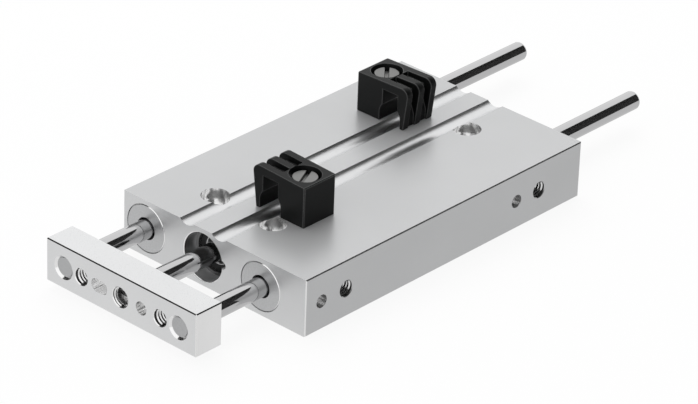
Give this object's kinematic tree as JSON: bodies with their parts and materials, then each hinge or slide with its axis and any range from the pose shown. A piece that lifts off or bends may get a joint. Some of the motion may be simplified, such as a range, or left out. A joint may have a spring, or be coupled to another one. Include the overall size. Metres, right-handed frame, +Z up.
{
  "type": "guided pneumatic cylinder",
  "caption": "Flat guided pneumatic cylinder: a piston rod between two guide rods joined by a yoke plate, sliding through a housing with clip brackets for position sensors.",
  "frame": {"origin": "middle plane of the cylinder bore, where the housing's front face meets its underside: the underside is z = 0 and the front face is x = 0", "axes": "+X is the direction in which the rods extend, +Y points to the side with the air ports, +Z points up out of the housing's underside, towards the sensor brackets"},
  "size_m": [0.0991, 0.0364, 0.016],
  "materials": {
    "anodised_aluminium": "satin clear anodised, fine grain along the length",
    "bright_aluminium": "satin",
    "polished_steel": "ground and polished",
    "screw_steel": "plain",
    "bushing_metal": "turned",
    "spring_steel": "blackened",
    "magnet_ferrite": "matte",
    "black_plastic": "moulded, fine matte texture",
    "seal_rubber": "matte"
  },
  "bodies": {
    "housing_unit": {"housing": "anodised_aluminium", "front_bushing_left": "bushing_metal", "front_bushing_right": "bushing_metal", "rear_bushing_left": "bushing_metal", "rear_bushing_right": "bushing_metal", "bearing_cap": "black_plastic", "rod_bearing": "bushing_metal", "rod_seal": "seal_rubber", "front_retaining_ring": "spring_steel", "rear_end_cap": "anodised_aluminium", "rear_retaining_ring": "spring_steel", "sensor_bracket_front": "black_plastic", "sensor_bracket_rear": "black_plastic", "bracket_screw_front": "screw_steel", "bracket_screw_rear": "screw_steel"},
    "yoke_unit": {"yoke_plate": "bright_aluminium", "yoke_set_screw": "screw_steel", "guide_rod_left": "polished_steel", "guide_rod_right": "polished_steel", "piston_rod": "polished_steel", "piston_front_half": "bright_aluminium", "piston_rear_half": "bright_aluminium", "piston_magnet": "magnet_ferrite", "piston_seal_front": "seal_rubber", "piston_seal_rear": "seal_rubber", "piston_nut": "screw_steel"}
  },
  "joints": [
    {"name": "stroke", "type": "slide", "parent": "housing_unit", "child": "yoke_unit", "axis": [1, 0, 0], "range_m": [-0.01, 0.02]}
  ]
}
